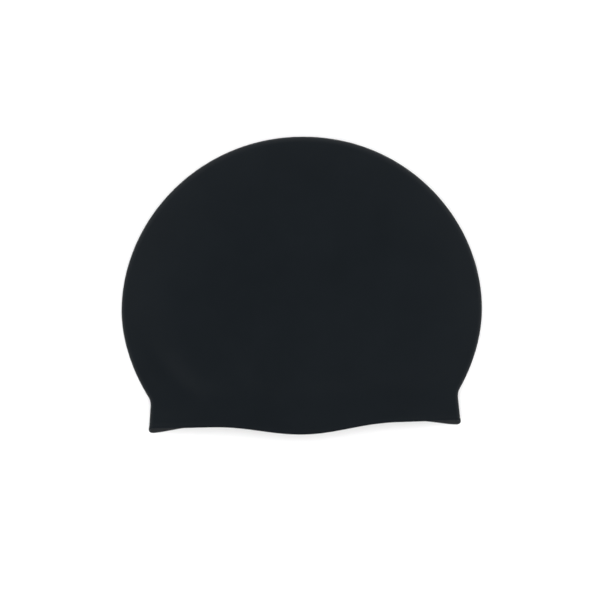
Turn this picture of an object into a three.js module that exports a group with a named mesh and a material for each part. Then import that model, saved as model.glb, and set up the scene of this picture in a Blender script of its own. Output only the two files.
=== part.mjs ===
// A swim cap, moulded in one piece from silicone rubber and lying flat on its side.
// One layer lies on the surface, the other arches over it, and they turn into each other in
// a soft fold that runs up one flank, over the crown and down the other. The mouth is open.
// Millimetres. X runs along the mouth, Y from the mouth to the crown and Z up from the
// surface, and the origin is in the middle of the underside.
import * as THREE from "three";

// Outline, seen from above
const CAP_WIDTH = 230;
const CROWN_RISE = 110.7; // from the widest line up to the crown
const SKIRT_DROP = 79; // from the widest line down to the tip of the ear lobe
const NECK_WIDTH = 195.7; // where the flanks run into the rim band
const RIM_WIDTH = 198.6;
const BAND_HEIGHT = 17.7; // from the neck down to the arches of the rim
const NECK_ROUNDING = 3.5; // length of each arm of the neck's soft corner
const FLANK_SPLAY_DEG = 31; // flank off the upright where it meets the neck
const FLANK_HOLD_WIDE = 19; // how far the flank keeps its direction below the widest line
const FLANK_HOLD_NECK = 15.5; // and above the neck
const SHOULDER_HOLD = 57.2; // how far the outline keeps its direction above the widest line
const CROWN_HOLD = 66.6; // and on either side of the crown

// Rim: the ear lobe in its middle, and the corners where the lower layer shows
const EAR_LOBE_DROP = 6.2; // of the upper layer, below the arches
const LOWER_LOBE_DROP = 4.8;
const EAR_LOBE_REACH = 61.5; // half of the lobe's width
const EAR_LOBE_FALL = 1.15; // above 1, the lobe falls away faster than a cosine wave
const CORNER_DROP = 3; // of the lower layer
const CORNER_REACH = 28;
const RIM_WAVE_REACH = 45; // height over which the rim's shape fades out above the rim

// How the soft cap has settled out of true
const BAND_SLANT_DEG = 1.6; // neck and rim turned in the plane of the surface
const CROWN_LEAN_DEG = 0.44; // crown leaning to the right

// Heights above the surface
const LYING_HEIGHT = 16;
const MOUTH_HEIGHT = 12;
const FLANK_FOLD_RADIUS = 2.5; // outer radius of the fold between the layers, on the flanks
const CROWN_FOLD_RADIUS = 4; // and over the crown, which can't be folded as tightly
const ARCH_REACH = 55; // distance in from the fold to the full height
const MOUTH_REACH = 70; // distance from the rim to the full height
const NECK_DIP = 1.2; // how much lower the upper layer lies along the tight neck
const NECK_DIP_REACH = 11;

// Rubber
const WALL = 0.7;
const BEAD_HEIGHT = 2.4; // of the rounded bead round the rim
const BEAD_STEP = 0.25; // how far the bead stands proud of the wall
const BEAD_LIFT_REACH = 14; // over which the lower layer comes down off its bead

// Shallow buckles of the upper layer above the left neck. Places are shares of half the
// width and of the skirt's drop, reach and breadth are shares of the skirt's drop, and a
// rise above zero is a ridge, below zero a hollow.
const BUCKLE_DEPTH = 1.4;
const BUCKLE_CLEARANCE = 18; // distance from the fold over which they come in
const BUCKLES = [
  { across: -0.45, below: 0.35, turnDeg: -57, reach: 0.45, breadth: 0.13, rise: -1 },
  { across: -0.62, below: 0.35, turnDeg: -57, reach: 0.36, breadth: 0.15, rise: 0.8 },
  { across: -0.7, below: 0.53, turnDeg: -47, reach: 0.3, breadth: 0.09, rise: -0.9 },
];

// How finely the surface is divided
const OUTLINE_SAMPLES = 320;
const BEAD_STEPS = 4;
const BAND_STEPS = 2;
const NECK_STEPS = 4;
const FLANK_STEPS = 8;
const DOME_STEPS = 23;
const FOLD_STEPS = 3;
const UPPER_SPANS = 24;
const LOWER_SPANS = 14;

const { degToRad, smoothstep } = THREE.MathUtils;

// Levels of the straightened cap, before it settles out of true
const widestY = (SKIRT_DROP - CROWN_RISE) / 2;
const crownY = widestY + CROWN_RISE;
const lowestY = widestY - SKIRT_DROP;
const archY = lowestY + EAR_LOBE_DROP;
const neckY = archY + BAND_HEIGHT;

// Right half of the straightened outline, from the rim to the crown
const widest = new THREE.Vector2(CAP_WIDTH / 2, widestY);
const neck = new THREE.Vector2(NECK_WIDTH / 2, neckY);
const rimCorner = new THREE.Vector2(RIM_WIDTH / 2, archY);
const splay = degToRad(FLANK_SPLAY_DEG);
const flankUp = new THREE.Vector2(Math.sin(splay), Math.cos(splay));
const bandDown = rimCorner.clone().sub(neck).normalize();
const bandTop = neck.clone().addScaledVector(bandDown, NECK_ROUNDING);
const bandFoot = rimCorner.clone().addScaledVector(bandDown, EAR_LOBE_DROP + CORNER_DROP);
const beadTop = rimCorner.clone().addScaledVector(bandDown, -BEAD_HEIGHT);
const flankFoot = neck.clone().addScaledVector(flankUp, NECK_ROUNDING);
const neckCurve = new THREE.QuadraticBezierCurve(bandTop, neck, flankFoot);
const flankCurve = new THREE.CubicBezierCurve(
  flankFoot,
  flankFoot.clone().addScaledVector(flankUp, FLANK_HOLD_NECK),
  new THREE.Vector2(widest.x, widest.y - FLANK_HOLD_WIDE),
  widest,
);
const domeCurve = new THREE.CubicBezierCurve(
  widest,
  new THREE.Vector2(widest.x, widest.y + SHOULDER_HOLD),
  new THREE.Vector2(CROWN_HOLD, crownY),
  new THREE.Vector2(0, crownY),
);

const outline = new THREE.CurvePath();
outline.add(new THREE.LineCurve(bandFoot, bandTop));
outline.add(neckCurve);
outline.add(flankCurve);
outline.add(domeCurve);
const foldLine = outline.getSpacedPoints(OUTLINE_SAMPLES);

function halfWidthAt(y) {
  const above = foldLine.findIndex((point) => point.y > y);
  const [a, b] = [foldLine[above - 1], foldLine[above]];
  return THREE.MathUtils.mapLinear(y, a.y, b.y, a.x, b.x);
}

function distanceToFold(x, y) {
  const place = new THREE.Vector3(Math.abs(x), y, 0);
  const nearest = new THREE.Vector3();
  const stretch = new THREE.Line3();
  let least = Infinity;
  for (let i = 1; i < foldLine.length; i++) {
    stretch.start.set(foldLine[i - 1].x, foldLine[i - 1].y, 0);
    stretch.end.set(foldLine[i].x, foldLine[i].y, 0);
    stretch.closestPointToPoint(place, true, nearest);
    least = Math.min(least, nearest.distanceTo(place));
  }
  return least;
}

function foldRadiusAt(y) {
  const share = smoothstep(y, widestY, crownY);
  return THREE.MathUtils.lerp(FLANK_FOLD_RADIUS, CROWN_FOLD_RADIUS, share);
}

// How far round the fold's quarter turn a place is, from 0 on the outline to 1 past the turn
function foldTurn(distance, radius) {
  const left = 1 - Math.min(distance / radius, 1);
  return Math.sqrt(1 - left * left);
}

// Drop of the rim below its arches. Side is 1 on the upper layer, -1 on the lower one and
// in between on the fold.
function rimDrop(x, side) {
  const turn = Math.min(Math.abs(x) / EAR_LOBE_REACH, 1) * Math.PI;
  const lobe = ((1 + Math.cos(turn)) / 2) ** EAR_LOBE_FALL;
  const corner = smoothstep(Math.abs(x), RIM_WIDTH / 2 - CORNER_REACH, RIM_WIDTH / 2);
  const upper = EAR_LOBE_DROP * lobe;
  const lower = LOWER_LOBE_DROP * lobe + CORNER_DROP * corner;
  return THREE.MathUtils.lerp(lower, upper, (side + 1) / 2);
}

function buckleRise(x, y, inward) {
  let rise = 0;
  for (const buckle of BUCKLES) {
    const turn = degToRad(buckle.turnDeg);
    const dx = x - (buckle.across * CAP_WIDTH) / 2;
    const dy = y - (widestY - buckle.below * SKIRT_DROP);
    const along = (dx * Math.cos(turn) + dy * Math.sin(turn)) / (buckle.reach * SKIRT_DROP);
    const beside = (dy * Math.cos(turn) - dx * Math.sin(turn)) / (buckle.breadth * SKIRT_DROP);
    rise += buckle.rise * Math.exp(-along * along - beside * beside);
  }
  return BUCKLE_DEPTH * rise * smoothstep(inward, 0, BUCKLE_CLEARANCE);
}

// Height of the outer surface. Inward is the distance in from the fold, and level is the
// distance up the straightened cap, before the rim's wave.
function heightAt(x, y, inward, level, side) {
  const radius = foldRadiusAt(y);
  const turn = foldTurn(inward, radius);
  const landed = smoothstep(level - archY, BEAD_HEIGHT, BEAD_HEIGHT + BEAD_LIFT_REACH);
  const foot = BEAD_STEP * (1 - landed);
  if (side < 0) return foot + radius * (1 - turn);
  const opening = smoothstep(level, archY, archY + MOUTH_REACH);
  const dip = NECK_DIP * Math.exp(-(((level - neckY) / NECK_DIP_REACH) ** 2));
  const top = THREE.MathUtils.lerp(MOUTH_HEIGHT, LYING_HEIGHT, opening) - dip;
  const left = 1 - Math.min(inward / ARCH_REACH, 1);
  const arch = (top - 2 * radius - foot) * (1 - left * left);
  return foot + radius * (1 + turn) + arch + buckleRise(x, y, inward);
}

// Turns the band and leans the crown, as the soft cap has come to lie
function settle(x, y, z) {
  const share = 1 - smoothstep(y, neckY, widestY);
  const turn = degToRad(BAND_SLANT_DEG) * share;
  const point = new THREE.Vector2(x, y).rotateAround(new THREE.Vector2(), turn);
  point.x += Math.tan(degToRad(CROWN_LEAN_DEG)) * (point.y - widestY);
  return new THREE.Vector3(point.x, point.y, z);
}

// Distances from the middle line of the points across one layer, from the right fold to the
// left one: close together round each fold, even between them
function acrossPositions(halfWidth, radius, spans) {
  const reach = Math.min(radius, halfWidth / 2);
  const turn = [];
  for (let i = 0; i < FOLD_STEPS; i++) {
    turn.push(halfWidth - reach * (1 - Math.cos((i / FOLD_STEPS) * (Math.PI / 2))));
  }
  const between = [];
  for (let i = 0; i <= spans; i++) {
    between.push((halfWidth - reach) * (1 - (2 * i) / spans));
  }
  return [...turn, ...between, ...turn.map((x) => -x).reverse()];
}

// One closed ring round the cap: over the upper layer from right to left, back underneath
function ringAt(level) {
  const wave = 1 - smoothstep(level, archY, archY + RIM_WAVE_REACH);
  const halfWidth = halfWidthAt(level - wave * rimDrop(RIM_WIDTH / 2, 0));
  const radius = foldRadiusAt(level);
  const over = acrossPositions(halfWidth, radius, UPPER_SPANS).map((x) => ({ x, side: 1 }));
  const under = acrossPositions(halfWidth, radius, LOWER_SPANS).map((x) => ({ x: -x, side: -1 }));
  return [...over, ...under.slice(1, -1)].map(({ x, side }) => {
    const edge = halfWidth - Math.abs(x);
    const y = level - wave * rimDrop(x, side * foldTurn(edge, radius));
    const inward = edge > 0 ? distanceToFold(x, y) : 0;
    return settle(x, y, heightAt(x, y, inward, level, side));
  });
}

// Levels of the rings, from the rim to just short of the crown
const stretches = [
  { curve: new THREE.LineCurve(rimCorner, beadTop), steps: BEAD_STEPS },
  { curve: new THREE.LineCurve(beadTop, bandTop), steps: BAND_STEPS },
  { curve: neckCurve, steps: NECK_STEPS },
  { curve: flankCurve, steps: FLANK_STEPS },
  { curve: domeCurve, steps: DOME_STEPS },
];
const levels = stretches.flatMap(({ curve, steps }) =>
  curve.getPoints(steps).slice(0, -1).map((point) => point.y),
);

// The rubber's outer surface without its bead: rings joined up to a point at the crown
const rings = levels.map(ringAt);
const around = rings[0].length;
const crownIndex = rings.length * around;
const crown = settle(0, crownY, CROWN_FOLD_RADIUS);
const faces = [];
for (let ring = 0; ring < rings.length; ring++) {
  for (let i = 0; i < around; i++) {
    const here = ring * around + i;
    const beside = ring * around + ((i + 1) % around);
    if (ring === rings.length - 1) {
      faces.push([here, crownIndex, beside]);
    } else {
      faces.push([here, here + around, beside]);
      faces.push([beside, here + around, beside + around]);
    }
  }
}
const sheet = new THREE.BufferGeometry().setFromPoints([...rings.flat(), crown]);
sheet.setIndex(faces.flat());
sheet.computeVertexNormals();

// The sheet moved along its normals, by a distance that depends on the ring
function offsetSheet(distanceAt) {
  const places = sheet.getAttribute("position");
  const normals = sheet.getAttribute("normal");
  const moved = [];
  for (let i = 0; i < places.count; i++) {
    const point = new THREE.Vector3().fromBufferAttribute(places, i);
    const normal = new THREE.Vector3().fromBufferAttribute(normals, i);
    moved.push(point.addScaledVector(normal, distanceAt(Math.floor(i / around))));
  }
  return moved;
}

// How far the half-round bead along the rim stands proud of the wall
function beadAt(ring) {
  const share = ring < levels.length ? (levels[ring] - archY) / BEAD_HEIGHT : 1;
  return share < 1 ? BEAD_STEP * Math.sqrt(1 - (2 * share - 1) ** 2) : 0;
}

// Outer and inner surface, joined by the lip of the mouth
const outer = offsetSheet(beadAt);
const inner = offsetSheet(() => -WALL);
const turned = faces.map(([a, b, c]) => [outer.length + a, outer.length + c, outer.length + b]);
const lip = [];
for (let i = 0; i < around; i++) {
  const next = (i + 1) % around;
  lip.push([i, next, outer.length + next]);
  lip.push([i, outer.length + next, outer.length + i]);
}
const shell = new THREE.BufferGeometry().setFromPoints([...outer, ...inner]);
shell.setIndex([...faces, ...turned, ...lip].flat());
shell.computeVertexNormals();

// The origin goes to the middle of the underside
shell.computeBoundingBox();
const { min, max } = shell.boundingBox;
shell.translate(-(min.x + max.x) / 2, -(min.y + max.y) / 2, -min.z);

const rubber = new THREE.MeshStandardMaterial({ color: 0x1d2125, roughness: 0.5, metalness: 0 });
const capShell = new THREE.Mesh(shell, rubber);
capShell.name = "cap_shell";

const cap = new THREE.Group();
cap.add(capShell);

export default cap;
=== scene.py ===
from math import cos, exp, pi, radians, sin, sqrt, tan

import bmesh
import bpy
from mathutils import Matrix, Vector, noise
from mathutils.bvhtree import BVHTree
from mathutils.geometry import interpolate_bezier


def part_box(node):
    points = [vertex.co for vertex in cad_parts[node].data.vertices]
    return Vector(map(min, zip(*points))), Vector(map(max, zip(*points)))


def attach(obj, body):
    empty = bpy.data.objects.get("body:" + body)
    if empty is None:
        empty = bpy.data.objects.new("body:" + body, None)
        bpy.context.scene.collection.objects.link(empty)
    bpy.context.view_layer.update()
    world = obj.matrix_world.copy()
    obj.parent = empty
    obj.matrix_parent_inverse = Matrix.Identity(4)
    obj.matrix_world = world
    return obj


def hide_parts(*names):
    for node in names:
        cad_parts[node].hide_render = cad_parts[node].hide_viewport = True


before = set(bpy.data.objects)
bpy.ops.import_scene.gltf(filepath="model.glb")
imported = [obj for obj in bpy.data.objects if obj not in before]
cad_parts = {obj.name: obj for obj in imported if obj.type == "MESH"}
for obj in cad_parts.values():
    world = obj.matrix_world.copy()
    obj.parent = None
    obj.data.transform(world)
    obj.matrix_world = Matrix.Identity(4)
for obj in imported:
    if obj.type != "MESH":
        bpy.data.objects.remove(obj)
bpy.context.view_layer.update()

# The cap's outline
# A swim cap is one thin bag of silicone rubber, moulded over a head-shaped core. Put down on its
# side it makes a dome with a soft fold round it, which draws in at a neck above the rim band.
MM = 0.001
cap_low, cap_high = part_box("cap_shell")
CAP_WIDTH = cap_high[0] - cap_low[0]
CROWN_RISE = 110.7 * MM  # from the widest line up to the crown
SKIRT_DROP = 79 * MM  # from the widest line down to the tip of the ear lobe
NECK_WIDTH = 195.7 * MM  # where the flanks run into the rim band
RIM_WIDTH = 198.6 * MM
BAND_HEIGHT = 17.7 * MM  # from the neck down to the arches of the rim
NECK_ROUNDING = 3.5 * MM  # length of each arm of the neck's soft corner
FLANK_SPLAY = radians(31)  # flank off the upright where it meets the neck
FLANK_HOLD_WIDE = 19 * MM  # how far the flank keeps its direction below the widest line
FLANK_HOLD_NECK = 15.5 * MM  # and above the neck
SHOULDER_HOLD = 57.2 * MM  # how far the outline keeps its direction above the widest line
CROWN_HOLD = 66.6 * MM  # and on either side of the crown
EAR_LOBE_DROP = 6.2 * MM  # of the upper layer, below the arches of the rim
OUTLINE_STEPS = 160

widest_y = (SKIRT_DROP - CROWN_RISE) / 2
crown_y = widest_y + CROWN_RISE
arch_y = widest_y - SKIRT_DROP + EAR_LOBE_DROP
neck_y = arch_y + BAND_HEIGHT
widest = Vector((CAP_WIDTH / 2, widest_y, 0))
neck = Vector((NECK_WIDTH / 2, neck_y, 0))
rim_corner = Vector((RIM_WIDTH / 2, arch_y, 0))
flank_up = Vector((sin(FLANK_SPLAY), cos(FLANK_SPLAY), 0))
band_down = (rim_corner - neck).normalized()
band_top = neck + band_down * NECK_ROUNDING
flank_foot = neck + flank_up * NECK_ROUNDING


def straight(start, end, steps):
    """Points along a straight stretch of the outline."""
    return [start.lerp(end, i / steps) for i in range(steps + 1)]


def soft_corner(start, corner, end, steps):
    """Points along a rounded corner."""
    return interpolate_bezier(
        start, start.lerp(corner, 2 / 3), end.lerp(corner, 2 / 3), end, steps + 1
    )


def flank(steps):
    """Points from the neck up to the widest line."""
    hold_neck = flank_foot + flank_up * FLANK_HOLD_NECK
    hold_wide = widest - Vector((0, FLANK_HOLD_WIDE, 0))
    return interpolate_bezier(flank_foot, hold_neck, hold_wide, widest, steps + 1)


def dome(steps):
    """Points from the widest line up to the crown."""
    hold_shoulder = widest + Vector((0, SHOULDER_HOLD, 0))
    hold_crown = Vector((CROWN_HOLD, crown_y, 0))
    crown = Vector((0, crown_y, 0))
    return interpolate_bezier(widest, hold_shoulder, hold_crown, crown, steps + 1)


fold_line = straight(rim_corner + band_down * 2 * EAR_LOBE_DROP, band_top, 2)
fold_line += soft_corner(band_top, neck, flank_foot, OUTLINE_STEPS // 8)[1:]
fold_line += flank(OUTLINE_STEPS // 2)[1:]
fold_line += dome(OUTLINE_STEPS)[1:]

# A ribbon that stands along the fold, to measure a place's distance from it
RIBBON_REACH = Vector((0, 0, 0.1))
ribbon_points = [point - RIBBON_REACH for point in fold_line]
ribbon_points += [point + RIBBON_REACH for point in fold_line]
stretches = len(fold_line) - 1
ribbon = BVHTree.FromPolygons(
    ribbon_points,
    [(i, i + 1, stretches + 2 + i, stretches + 1 + i) for i in range(stretches)],
)


def distance_to_fold(x, y):
    return ribbon.find_nearest(Vector((abs(x), y, 0)))[3]


def half_width_at(y):
    for below, above in zip(fold_line, fold_line[1:]):
        if above.y > y:
            share = (y - below.y) / (above.y - below.y)
            return below.lerp(above, share).x
    return 0.0


# The cap's shell
# The two layers of the lying cap: the lower one flat on the surface, the upper one arched over
# it, with an ear lobe in the middle of the rim and a moulded half-round bead along it.
LYING_HEIGHT = cap_high[2]
MOUTH_HEIGHT = 12 * MM
FLANK_FOLD_RADIUS = 2.5 * MM  # outer radius of the fold between the layers
CROWN_FOLD_RADIUS = 4 * MM
ARCH_REACH = 55 * MM  # distance in from the fold to the full height
MOUTH_REACH = 70 * MM  # distance from the rim to the full height
NECK_DIP = 1.2 * MM  # how much lower the upper layer lies along the neck
NECK_DIP_REACH = 11 * MM
LOWER_LOBE_DROP = 4.8 * MM
EAR_LOBE_REACH = 61.5 * MM  # half of the lobe's width
EAR_LOBE_FALL = 1.15  # above 1, the lobe falls away faster than a cosine wave
CORNER_DROP = 3 * MM  # of the lower layer, which shows at both corners of the rim
CORNER_REACH = 28 * MM
RIM_WAVE_REACH = 45 * MM  # height over which the rim's shape fades out
BAND_SLANT = radians(1.6)
CROWN_LEAN = radians(0.44)
WALL = 0.7 * MM
BEAD_HEIGHT = 2.4 * MM
BEAD_STEP = 0.25 * MM  # how far the bead stands proud of the wall
BEAD_LIFT_REACH = 14 * MM  # over which the lower layer comes down off its bead
LIP_ROUNDING = 0.2 * MM
LIP_STEPS = 3

# Shallow buckles above the left neck: where, which way, how long, how broad and how deep
BUCKLE_DEPTH = 1.4 * MM
BUCKLE_CLEARANCE = 18 * MM
BUCKLES = [
    dict(across=-0.45, below=0.35, turn=-57, reach=0.45, breadth=0.13, rise=-1),
    dict(across=-0.62, below=0.35, turn=-57, reach=0.36, breadth=0.15, rise=0.8),
    dict(across=-0.7, below=0.53, turn=-47, reach=0.3, breadth=0.09, rise=-0.9),
]
RIPPLE_DEPTH = 0.25 * MM  # of a faint unevenness of the upper layer
RIPPLE_LENGTH = 45 * MM

# How finely the mesh is divided, and how close two points are to be taken as one
AROUND = 240
BEAD_STEPS, BAND_STEPS, NECK_STEPS, FLANK_STEPS, DOME_STEPS = 8, 8, 10, 26, 72
SAME_PLACE = 0.0001 * MM


def smooth(value, low, high):
    """Rises softly from 0 at the low value to 1 at the high one."""
    share = min(max((value - low) / (high - low), 0), 1)
    return share * share * (3 - 2 * share)


def fold_radius_at(y):
    """The fold is tight on the flanks and rounder over the crown."""
    share = smooth(y, widest_y, crown_y)
    return FLANK_FOLD_RADIUS + (CROWN_FOLD_RADIUS - FLANK_FOLD_RADIUS) * share


def fold_turn(distance, radius):
    """How far round the fold's quarter turn a place is, from 0 on the outline to 1 past it."""
    left = 1 - min(distance / radius, 1)
    return sqrt(1 - left * left)


def rim_drop(x, side):
    """Drop of the rim below its arches: side is 1 on the upper layer, -1 on the lower one."""
    turn = min(abs(x) / EAR_LOBE_REACH, 1) * pi
    lobe = ((1 + cos(turn)) / 2) ** EAR_LOBE_FALL
    corner = smooth(abs(x), RIM_WIDTH / 2 - CORNER_REACH, RIM_WIDTH / 2)
    upper = EAR_LOBE_DROP * lobe
    lower = LOWER_LOBE_DROP * lobe + CORNER_DROP * corner
    return lower + (upper - lower) * (side + 1) / 2


def buckle_rise(x, y, inward):
    """Rise of the upper layer by its buckles and its faint unevenness."""
    rise = 0
    for buckle in BUCKLES:
        turn = radians(buckle["turn"])
        dx = x - buckle["across"] * CAP_WIDTH / 2
        dy = y - (widest_y - buckle["below"] * SKIRT_DROP)
        along = (dx * cos(turn) + dy * sin(turn)) / (buckle["reach"] * SKIRT_DROP)
        beside = (dy * cos(turn) - dx * sin(turn)) / (buckle["breadth"] * SKIRT_DROP)
        rise += buckle["rise"] * exp(-along * along - beside * beside) * BUCKLE_DEPTH
    rise += noise.noise(Vector((x, y, 0)) / RIPPLE_LENGTH) * RIPPLE_DEPTH
    return rise * smooth(inward, 0, BUCKLE_CLEARANCE)


def height_at(x, y, inward, level, side):
    """Height of the outer surface: inward is the distance from the fold, level the way up."""
    radius = fold_radius_at(y)
    turn = fold_turn(inward, radius)
    landed = smooth(level - arch_y, BEAD_HEIGHT, BEAD_HEIGHT + BEAD_LIFT_REACH)
    foot = BEAD_STEP * (1 - landed)
    if side < 0:
        return foot + radius * (1 - turn)
    opening = smooth(level, arch_y, arch_y + MOUTH_REACH)
    dip = NECK_DIP * exp(-(((level - neck_y) / NECK_DIP_REACH) ** 2))
    top = MOUTH_HEIGHT + (LYING_HEIGHT - MOUTH_HEIGHT) * opening - dip
    left = 1 - min(inward / ARCH_REACH, 1)
    arch = (top - 2 * radius - foot) * (1 - left * left)
    return foot + radius * (1 + turn) + arch + buckle_rise(x, y, inward)


def settle(x, y, z):
    """Turns the band and leans the crown, as the soft cap has come to lie."""
    turn = BAND_SLANT * (1 - smooth(y, neck_y, widest_y))
    point = Matrix.Rotation(turn, 3, "Z") @ Vector((x, y, z))
    point.x += tan(CROWN_LEAN) * (point.y - widest_y)
    return point


def place(level, half_width, across, side):
    """A point of the sheet: across is 1 on the right fold and -1 on the left one."""
    x = half_width * across
    edge = half_width - abs(x)
    wave = 1 - smooth(level, arch_y, arch_y + RIM_WAVE_REACH)
    y = level - wave * rim_drop(x, side * fold_turn(edge, fold_radius_at(level)))
    inward = distance_to_fold(x, y) if edge > SAME_PLACE else 0
    return settle(x, y, height_at(x, y, inward, level, side))


bead_top = rim_corner - band_down * BEAD_HEIGHT
levels = [point.y for point in straight(rim_corner, bead_top, BEAD_STEPS)[:-1]]
levels += [point.y for point in straight(bead_top, band_top, BAND_STEPS)[:-1]]
levels += [point.y for point in soft_corner(band_top, neck, flank_foot, NECK_STEPS)[:-1]]
levels += [point.y for point in flank(FLANK_STEPS)[:-1]]
levels += [point.y for point in dome(DOME_STEPS)[:-2]]
half_widths = []
for level in levels:
    wave = 1 - smooth(level, arch_y, arch_y + RIM_WAVE_REACH)
    half_widths.append(half_width_at(level - wave * rim_drop(RIM_WIDTH / 2, 0)))

# A plain tube, one ring for each level, drawn into the shape of the cap and shut at the crown
bm = bmesh.new()
bmesh.ops.create_cone(
    bm,
    cap_ends=False,
    segments=AROUND,
    radius1=1,
    radius2=1,
    depth=1,
    matrix=Matrix.Rotation(-pi / 2, 4, "X"),
)
lengthwise = [edge for edge in bm.edges if abs(edge.verts[0].co.y - edge.verts[1].co.y) > 0.5]
bmesh.ops.subdivide_edges(bm, edges=lengthwise, cuts=len(levels) - 1)
beads = bm.verts.layers.float.new("bead")
for vert in bm.verts:
    across, along, side = vert.co.x, vert.co.y + 0.5, vert.co.z
    ring = round(along * len(levels))
    if ring == len(levels):
        vert.co = settle(0, crown_y, CROWN_FOLD_RADIUS)
        continue
    share = (levels[ring] - arch_y) / BEAD_HEIGHT
    vert[beads] = BEAD_STEP * sqrt(max(1 - (2 * share - 1) ** 2, 0))
    vert.co = place(levels[ring], half_widths[ring], across, 1 if side > 0 else -1)
bmesh.ops.remove_doubles(bm, verts=bm.verts[:], dist=SAME_PLACE)
bmesh.ops.recalc_face_normals(bm, faces=bm.faces[:])
bm.normal_update()

# The rubber's wall: a second sheet inside the first, joined to it by the rounded lip of the mouth
inner_side = bm.verts.layers.float.new("inner_side")
normals = {vert: vert.normal.copy() for vert in bm.verts}
copied = bmesh.ops.duplicate(bm, geom=bm.verts[:] + bm.edges[:] + bm.faces[:])
bm.verts.ensure_lookup_table()
for outer, normal in normals.items():
    inner = copied["vert_map"][outer]
    inner.co -= normal * WALL
    inner[inner_side] = 1
    outer.co += normal * outer[beads]
inner_faces = [item for item in copied["geom"] if isinstance(item, bmesh.types.BMFace)]
bmesh.ops.reverse_faces(bm, faces=inner_faces)
rims = [edge for edge in bm.edges if edge.is_boundary]
bmesh.ops.bridge_loops(bm, edges=rims)
bmesh.ops.bevel(
    bm,
    geom=rims,
    offset=LIP_ROUNDING,
    offset_type="OFFSET",
    segments=LIP_STEPS,
    profile=0.5,
    affect="EDGES",
    clamp_overlap=True,
    material=-1,
)
for face in bm.faces:
    face.smooth = True
mesh = bpy.data.meshes.new("swim_cap")
bm.to_mesh(mesh)
bm.free()
cap = bpy.data.objects.new("swim_cap", mesh)
bpy.context.scene.collection.objects.link(cap)
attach(cap, "root")
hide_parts("cap_shell")


def linear(hex_colour):
    """The linear RGBA of an sRGB colour such as 1d2125."""
    channels = [int(hex_colour[i : i + 2], 16) / 255 for i in (0, 2, 4)]
    return [c / 12.92 if c <= 0.04045 else ((c + 0.055) / 1.055) ** 2.4 for c in channels] + [1]


def add_node(material, kind, settings=None, **links):
    """Adds a node, sets its properties and inputs, and links inputs from other nodes' outputs."""
    node = material.node_tree.nodes.new(kind)
    for name, value in (settings or {}).items():
        if name in node.inputs:
            node.inputs[name].default_value = value
        else:
            setattr(node, name, value)
    for name, source in links.items():
        material.node_tree.links.new(source, node.inputs[name.replace("_", " ")])
    return node


# Silicone rubber, compression moulded and left as it comes from a finely blasted mould: a satin
# near-black with a cool cast, soft broad highlights and no visible grain from a step away. The
# inside is a duller, paler grey: partly the film of powder that stops the rubber sticking, partly
# painted light that lifts the shade on the lower layer where it shows at the rim's corners.
rubber = bpy.data.materials.new("moulded_silicone_rubber")
rubber.use_nodes = True
rubber.node_tree.nodes.clear()
place_on_cap = add_node(rubber, "ShaderNodeTexCoord").outputs["Object"]
smudges = add_node(
    rubber,
    "ShaderNodeTexNoise",
    {"Scale": 1 / (35 * MM), "Detail": 3, "Roughness": 0.55},
    Vector=place_on_cap,
)
grain = add_node(
    rubber,
    "ShaderNodeTexNoise",
    {"Scale": 1 / (0.6 * MM), "Detail": 2, "Roughness": 0.6},
    Vector=place_on_cap,
)
tone = add_node(rubber, "ShaderNodeValToRGB", Fac=smudges.outputs["Fac"])
tone.color_ramp.elements[0].position = 0.3
tone.color_ramp.elements[0].color = linear("090e12")
tone.color_ramp.elements[1].position = 0.7
tone.color_ramp.elements[1].color = linear("0b1014")
inside = add_node(rubber, "ShaderNodeAttribute", {"attribute_name": "inner_side"})
# Painted light: the inside's paler grey lifts the shade that the upper layer casts on the lower
# one at the rim's corners; the rest of it is the powder film.
colour = add_node(
    rubber,
    "ShaderNodeMixRGB",
    {"Color2": linear("2b2d2f")},
    Fac=inside.outputs["Fac"],
    Color1=tone.outputs["Color"],
)
gloss = add_node(
    rubber,
    "ShaderNodeMapRange",
    {"From Min": 0.3, "From Max": 0.7, "To Min": 0.43, "To Max": 0.49},
    Value=smudges.outputs["Fac"],
)
finish = add_node(
    rubber,
    "ShaderNodeMapRange",
    {"To Max": 0.62},
    Value=inside.outputs["Fac"],
    To_Min=gloss.outputs["Result"],
)
relief = add_node(
    rubber,
    "ShaderNodeBump",
    {"Strength": 0.15, "Distance": 0.03 * MM},
    Height=grain.outputs["Fac"],
)
surface = add_node(
    rubber,
    "ShaderNodeBsdfPrincipled",
    {"Metallic": 0, "IOR": 1.41, "Specular IOR Level": 0.09},
    Base_Color=colour.outputs["Color"],
    Roughness=finish.outputs["Result"],
    Normal=relief.outputs["Normal"],
)
add_node(rubber, "ShaderNodeOutputMaterial", Surface=surface.outputs["BSDF"])
mesh.materials.append(rubber)

# The floor
# A plain white sweep of paper, a hair below the cap so that the two don't share a plane.
FLOOR_SIZE = 6
FLOOR_GAP = 0.05 * MM
floor_bm = bmesh.new()
bmesh.ops.create_grid(
    floor_bm,
    x_segments=1,
    y_segments=1,
    size=FLOOR_SIZE / 2,
    matrix=Matrix.Translation((0, 0, -FLOOR_GAP)),
)
floor_mesh = bpy.data.meshes.new("floor")
floor_bm.to_mesh(floor_mesh)
floor_bm.free()
floor = bpy.data.objects.new("floor", floor_mesh)
bpy.context.scene.collection.objects.link(floor)
paper = bpy.data.materials.new("white_paper")
paper.use_nodes = True
paper.node_tree.nodes.clear()
matt = add_node(
    paper, "ShaderNodeBsdfPrincipled", {"Base Color": linear("f4f4f4"), "Roughness": 0.9}
)
add_node(paper, "ShaderNodeOutputMaterial", Surface=matt.outputs["BSDF"])
floor_mesh.materials.append(paper)

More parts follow.
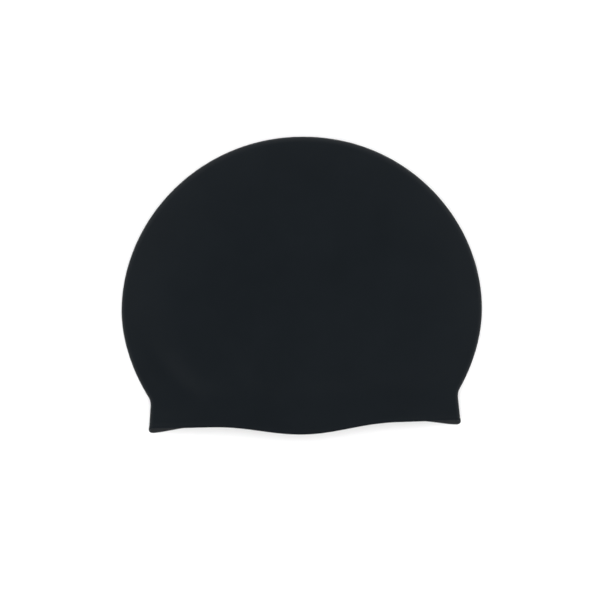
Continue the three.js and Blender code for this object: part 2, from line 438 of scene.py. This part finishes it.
# The light
# Large soft boxes low on three sides, the one at the upper left the strongest, in a pale room
# that is brightest near its floor and dimmer overhead, so that the cap's top stays near black.
def soft_box(name, position, size, power):
    """A square light that faces the cap, with its size in metres and its power in watts."""
    lamp = bpy.data.lights.new(name, "AREA")
    lamp.shape = "SQUARE"
    lamp.size = size
    lamp.energy = power
    box = bpy.data.objects.new(name, lamp)
    box.location = position
    box.rotation_euler = (-Vector(position)).to_track_quat("-Z", "Y").to_euler()
    bpy.context.scene.collection.objects.link(box)


soft_box("key_light", position=(-1.1, 0.9, 1.0), size=1.2, power=5)
soft_box("fill_light", position=(1.1, 0.9, 1.0), size=1.2, power=4)
soft_box("front_light", position=(0, -1.3, 0.8), size=1.2, power=4)

room = bpy.data.worlds.new("pale_room")
room.use_nodes = True
room.node_tree.nodes.clear()
direction = add_node(room, "ShaderNodeTexCoord").outputs["Generated"]
height = add_node(room, "ShaderNodeSeparateXYZ", Vector=direction)
brightness = add_node(
    room,
    "ShaderNodeMapRange",
    {"From Min": 0.2, "From Max": 0.9, "To Min": 2.4, "To Max": 0.98},
    Value=height.outputs["Z"],
)
lit_room = add_node(room, "ShaderNodeBackground", Strength=brightness.outputs["Result"])
seen_room = add_node(room, "ShaderNodeBackground", {"Color": (1, 1, 1, 1), "Strength": 1})
lit_room.inputs["Color"].default_value = (1, 1, 1, 1)
path = add_node(room, "ShaderNodeLightPath")
mix = add_node(room, "ShaderNodeMixShader", Fac=path.outputs["Is Camera Ray"])
room.node_tree.links.new(lit_room.outputs["Background"], mix.inputs[1])
room.node_tree.links.new(seen_room.outputs["Background"], mix.inputs[2])
add_node(room, "ShaderNodeOutputWorld", Surface=mix.outputs["Shader"])
bpy.context.scene.world = room
bpy.context.scene.view_settings.view_transform = "Standard"

# The camera
# Straight above the cap, as in the photograph, with a long lens. The cap's width and place in the
# picture give the camera's height and place.
IMAGE_PIXELS = 600
CAP_PIXELS = 360.4  # width of the cap in the picture
CAP_CENTRE_PIXEL = (301.75, 285.4)
LENS = 200
SENSOR = 36
pixel = CAP_WIDTH / CAP_PIXELS
view_width = IMAGE_PIXELS * pixel
lens = bpy.data.cameras.new("camera")
lens.lens = LENS
lens.sensor_width = SENSOR
camera = bpy.data.objects.new("camera", lens)
camera.location = (
    (IMAGE_PIXELS / 2 - CAP_CENTRE_PIXEL[0]) * pixel,
    (CAP_CENTRE_PIXEL[1] - IMAGE_PIXELS / 2) * pixel,
    FLANK_FOLD_RADIUS + view_width * LENS / SENSOR,
)
bpy.context.scene.collection.objects.link(camera)
bpy.context.scene.camera = camera

bpy.context.view_layer.update()
